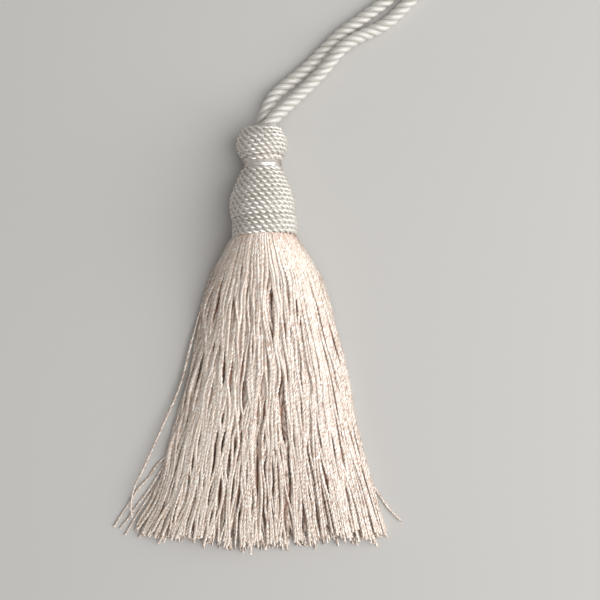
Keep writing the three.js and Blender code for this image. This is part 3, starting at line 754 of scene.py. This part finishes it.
# strands as twisted tubes: ring point = centre + reach * (cos(angle + twist) * normal + sin(angle + twist) *
# side), twist = 2 pi * run / lay, right-handed; squeezed in the neck, a little thinner at the cut
def strandTubes(members, stations, points, lay, spec):
    share = np.linspace(0, 1, stations)
    angle, reach = np.radians([a for a, r in points]), np.array([r for a, r in points])
    drawn = []
    for one in members:
        path = np.stack([trackX[:, one], trackY[:, one], trackZ[:, one]], -1)
        run = runLength(path)
        at = share * min(strandLength[one], run[-1])
        lines = (*path.T, strandShade[:, one], spacing, outX[:, one], outZ[:, one], closeLaid[:, one])
        drawn.append([at, *(np.interp(at, run, line) for line in lines)])
    run, x, y, z, shade, wide, outAcross, outUp, close = np.array(drawn).transpose(1, 0, 2)
    centre = np.stack([x, y, z], -1)
    outward = unit(np.stack([outAcross, np.zeros(x.shape), outUp], -1))[:, :, None]
    normal, side = frameAlong(centre, upward)
    left = run[:, -1:] - run
    girth = np.minimum((spec["fill"] - spec["fillClose"] * close) * wide, spec["thick"])
    girth = girth * strandGirth[members][:, None]
    girth = girth * (spec["cutGirth"] + (1 - spec["cutGirth"]) * ease(*spec["cutFrom"], left))
    phase = strandPhase[members][:, None]
    uneven = sum(size * np.sin(run / long + apart * phase) for size, long, apart in spec["uneven"])
    turn = (2 * np.pi * (run / lay / strandLay[members][:, None] + phase + uneven))[..., None] + angle
    spoke = np.cos(turn)[..., None] * normal[:, :, None] + np.sin(turn)[..., None] * side[:, :, None]
    rings = centre[:, :, None] + (girth[..., None] * reach)[..., None] * spoke
    rings[..., 2] = np.maximum(rings[..., 2], 0.0)
    # loose filaments scatter light across a strand, so its open side is shaded more like the pile's surface
    openSide = ease(*spec["openSide"], np.sum(spoke * outward, axis=-1, keepdims=True))
    openSide = openSide * ~isStray[members][:, None, None, None]
    around = np.roll(rings, -1, axis=2) - np.roll(rings, 1, axis=2)
    merge = spec["merge"] + spec["mergeClose"] * close
    merge = merge * (1 - spec["mergeLess"] * ease(*spec["mergeLessFrom"], run) * (1 - close))
    sideways = unit(np.cross(around, np.gradient(rings, axis=1)))
    facing = unit(sideways + merge[..., None, None] * openSide * outward)
    shade = shade * ease(*spec["cutLight"], left)  # the cut ends are open to the light
    valley = (reach < reach.max()) * spec["valleyShade"]
    # painted light makes it palest just under the neck, but painted shade makes it tan where the heading
    # comes out of the binding at the right
    heading = ease(*spec["rootRightAt"], x) * np.exp(-(run / spec["rootLong"]) ** 2)
    tint = strandToneAndPaintedLight[members][:, None] - spec["headingShade"] * heading
    tint += spec["neckPaintedLight"] * np.exp(-((run - spec["neckAt"]) / spec["neckLong"]) ** 2)
    # painted light: paler towards the cut ends
    tint += spec["cutPaintedLight"] * np.exp(-(left / spec["cutLong"]) ** 2)
    tint -= spec["lowDeep"] * ease(*spec["lowFrom"], run) * ease(*spec["lowAt"], x)
    dull = spec["dull"] * np.modf(spec["dullTurn"] * phase)[0] ** 2  # some strands stay dull
    # the tint carries the strand's tone together with the painted light and shade above
    marks = {"tint": np.clip(tint, 0, 1) * (1 - dull), "shade": np.clip(shade[..., None] + valley, 0, 1)}
    return rings, run, marks, facing


# strands that lie open are drawn ply by ply, those under them more plainly
showBegin, showEnd = skirtSet["showLooks"]
openShare = (buried[showBegin:showEnd] < skirtSet["showDepth"]).mean(0)
byShow = np.argsort(-openShare - isStray + (strandGirth > skirtSet["showGirth"]))
fineEnd, middleEnd = skirtSet["fine"], skirtSet["fine"] + skirtSet["middle"]
groups = [(part, skirtSet["fineStations"], "plyed", 1)
          for part in np.array_split(byShow[:fineEnd], skirtSet["fineParts"])]
groups += [(byShow[fineEnd:middleEnd], skirtSet["middleStations"], "plain", skirtSet["middleLay"]),
           (byShow[middleEnd:], skirtSet["restStations"], "plain", skirtSet["restLay"])]
for number, (members, stations, shape, longer) in enumerate(groups):
    rings, run, marks, facing = strandTubes(members, stations, skirtSet[shape], skirtSet["lay"] * longer,
                                            skirtSet)
    # each strand has its own stretch of the pattern
    apartRun = run + skirtSet["patternApart"] * strandPhase[members][:, None]
    piece = tubePiece(f"skirtStrands{number + 1}", rings, apartRun, skirtYarn, marks, facing)
    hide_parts("skirt")
print("skirt laid")

# floor and light, in metres: plain pale floor, one long soft light from overhead down to the right,
# weak light all round
floorSet = {"size": 8.0, "colour": "#cac8c5", "rough": 0.85}
floorMesh = bpy.data.meshes.new("floor")
half = floorSet["size"] / 2
corners = [(-half, -half, 0), (half, -half, 0), (half, half, 0), (-half, half, 0)]
floorMesh.from_pydata(corners, [], [(0, 1, 2, 3)])
floorPaint = bpy.data.materials.new("matt pale board")  # even and matt, so only the soft shadow shows
floorPaint.use_nodes = True
floorSkin = floorPaint.node_tree.nodes["Principled BSDF"]
floorSkin.inputs["Base Color"].default_value = toLinear(floorSet["colour"])
floorSkin.inputs["Roughness"].default_value = floorSet["rough"]
floorMesh.materials.append(floorPaint)
floor = bpy.data.objects.new("floor", floorMesh)
scene.collection.objects.link(floor)

lightSet = {"power": 5.4, "size": (1.05, 0.6), "away": 0.6, "lean": 41.0, "below": 0.03,
            "world": 0.29, "worldColour": "#f3f1ef"}
windowData = bpy.data.lights.new("sideWindow", "AREA")
windowData.shape, windowData.energy = "RECTANGLE", lightSet["power"]
windowData.size, windowData.size_y = lightSet["size"]
window = bpy.data.objects.new("sideWindow", windowData)
away, below, leanTurn = lightSet["away"], lightSet["below"], np.radians(lightSet["lean"])
window.location = (away * np.sin(leanTurn), -below, away * np.cos(leanTurn))
window.rotation_euler = (np.arctan2(below, away), leanTurn, 0)
scene.collection.objects.link(window)
room = bpy.data.worlds.new("room")
room.use_nodes = True
roomLight = room.node_tree.nodes["Background"]
roomLight.inputs["Color"].default_value = toLinear(lightSet["worldColour"])
roomLight.inputs["Strength"].default_value = lightSet["world"]
scene.world = room
scene.view_settings.view_transform = "Standard"
print("floor and light set")
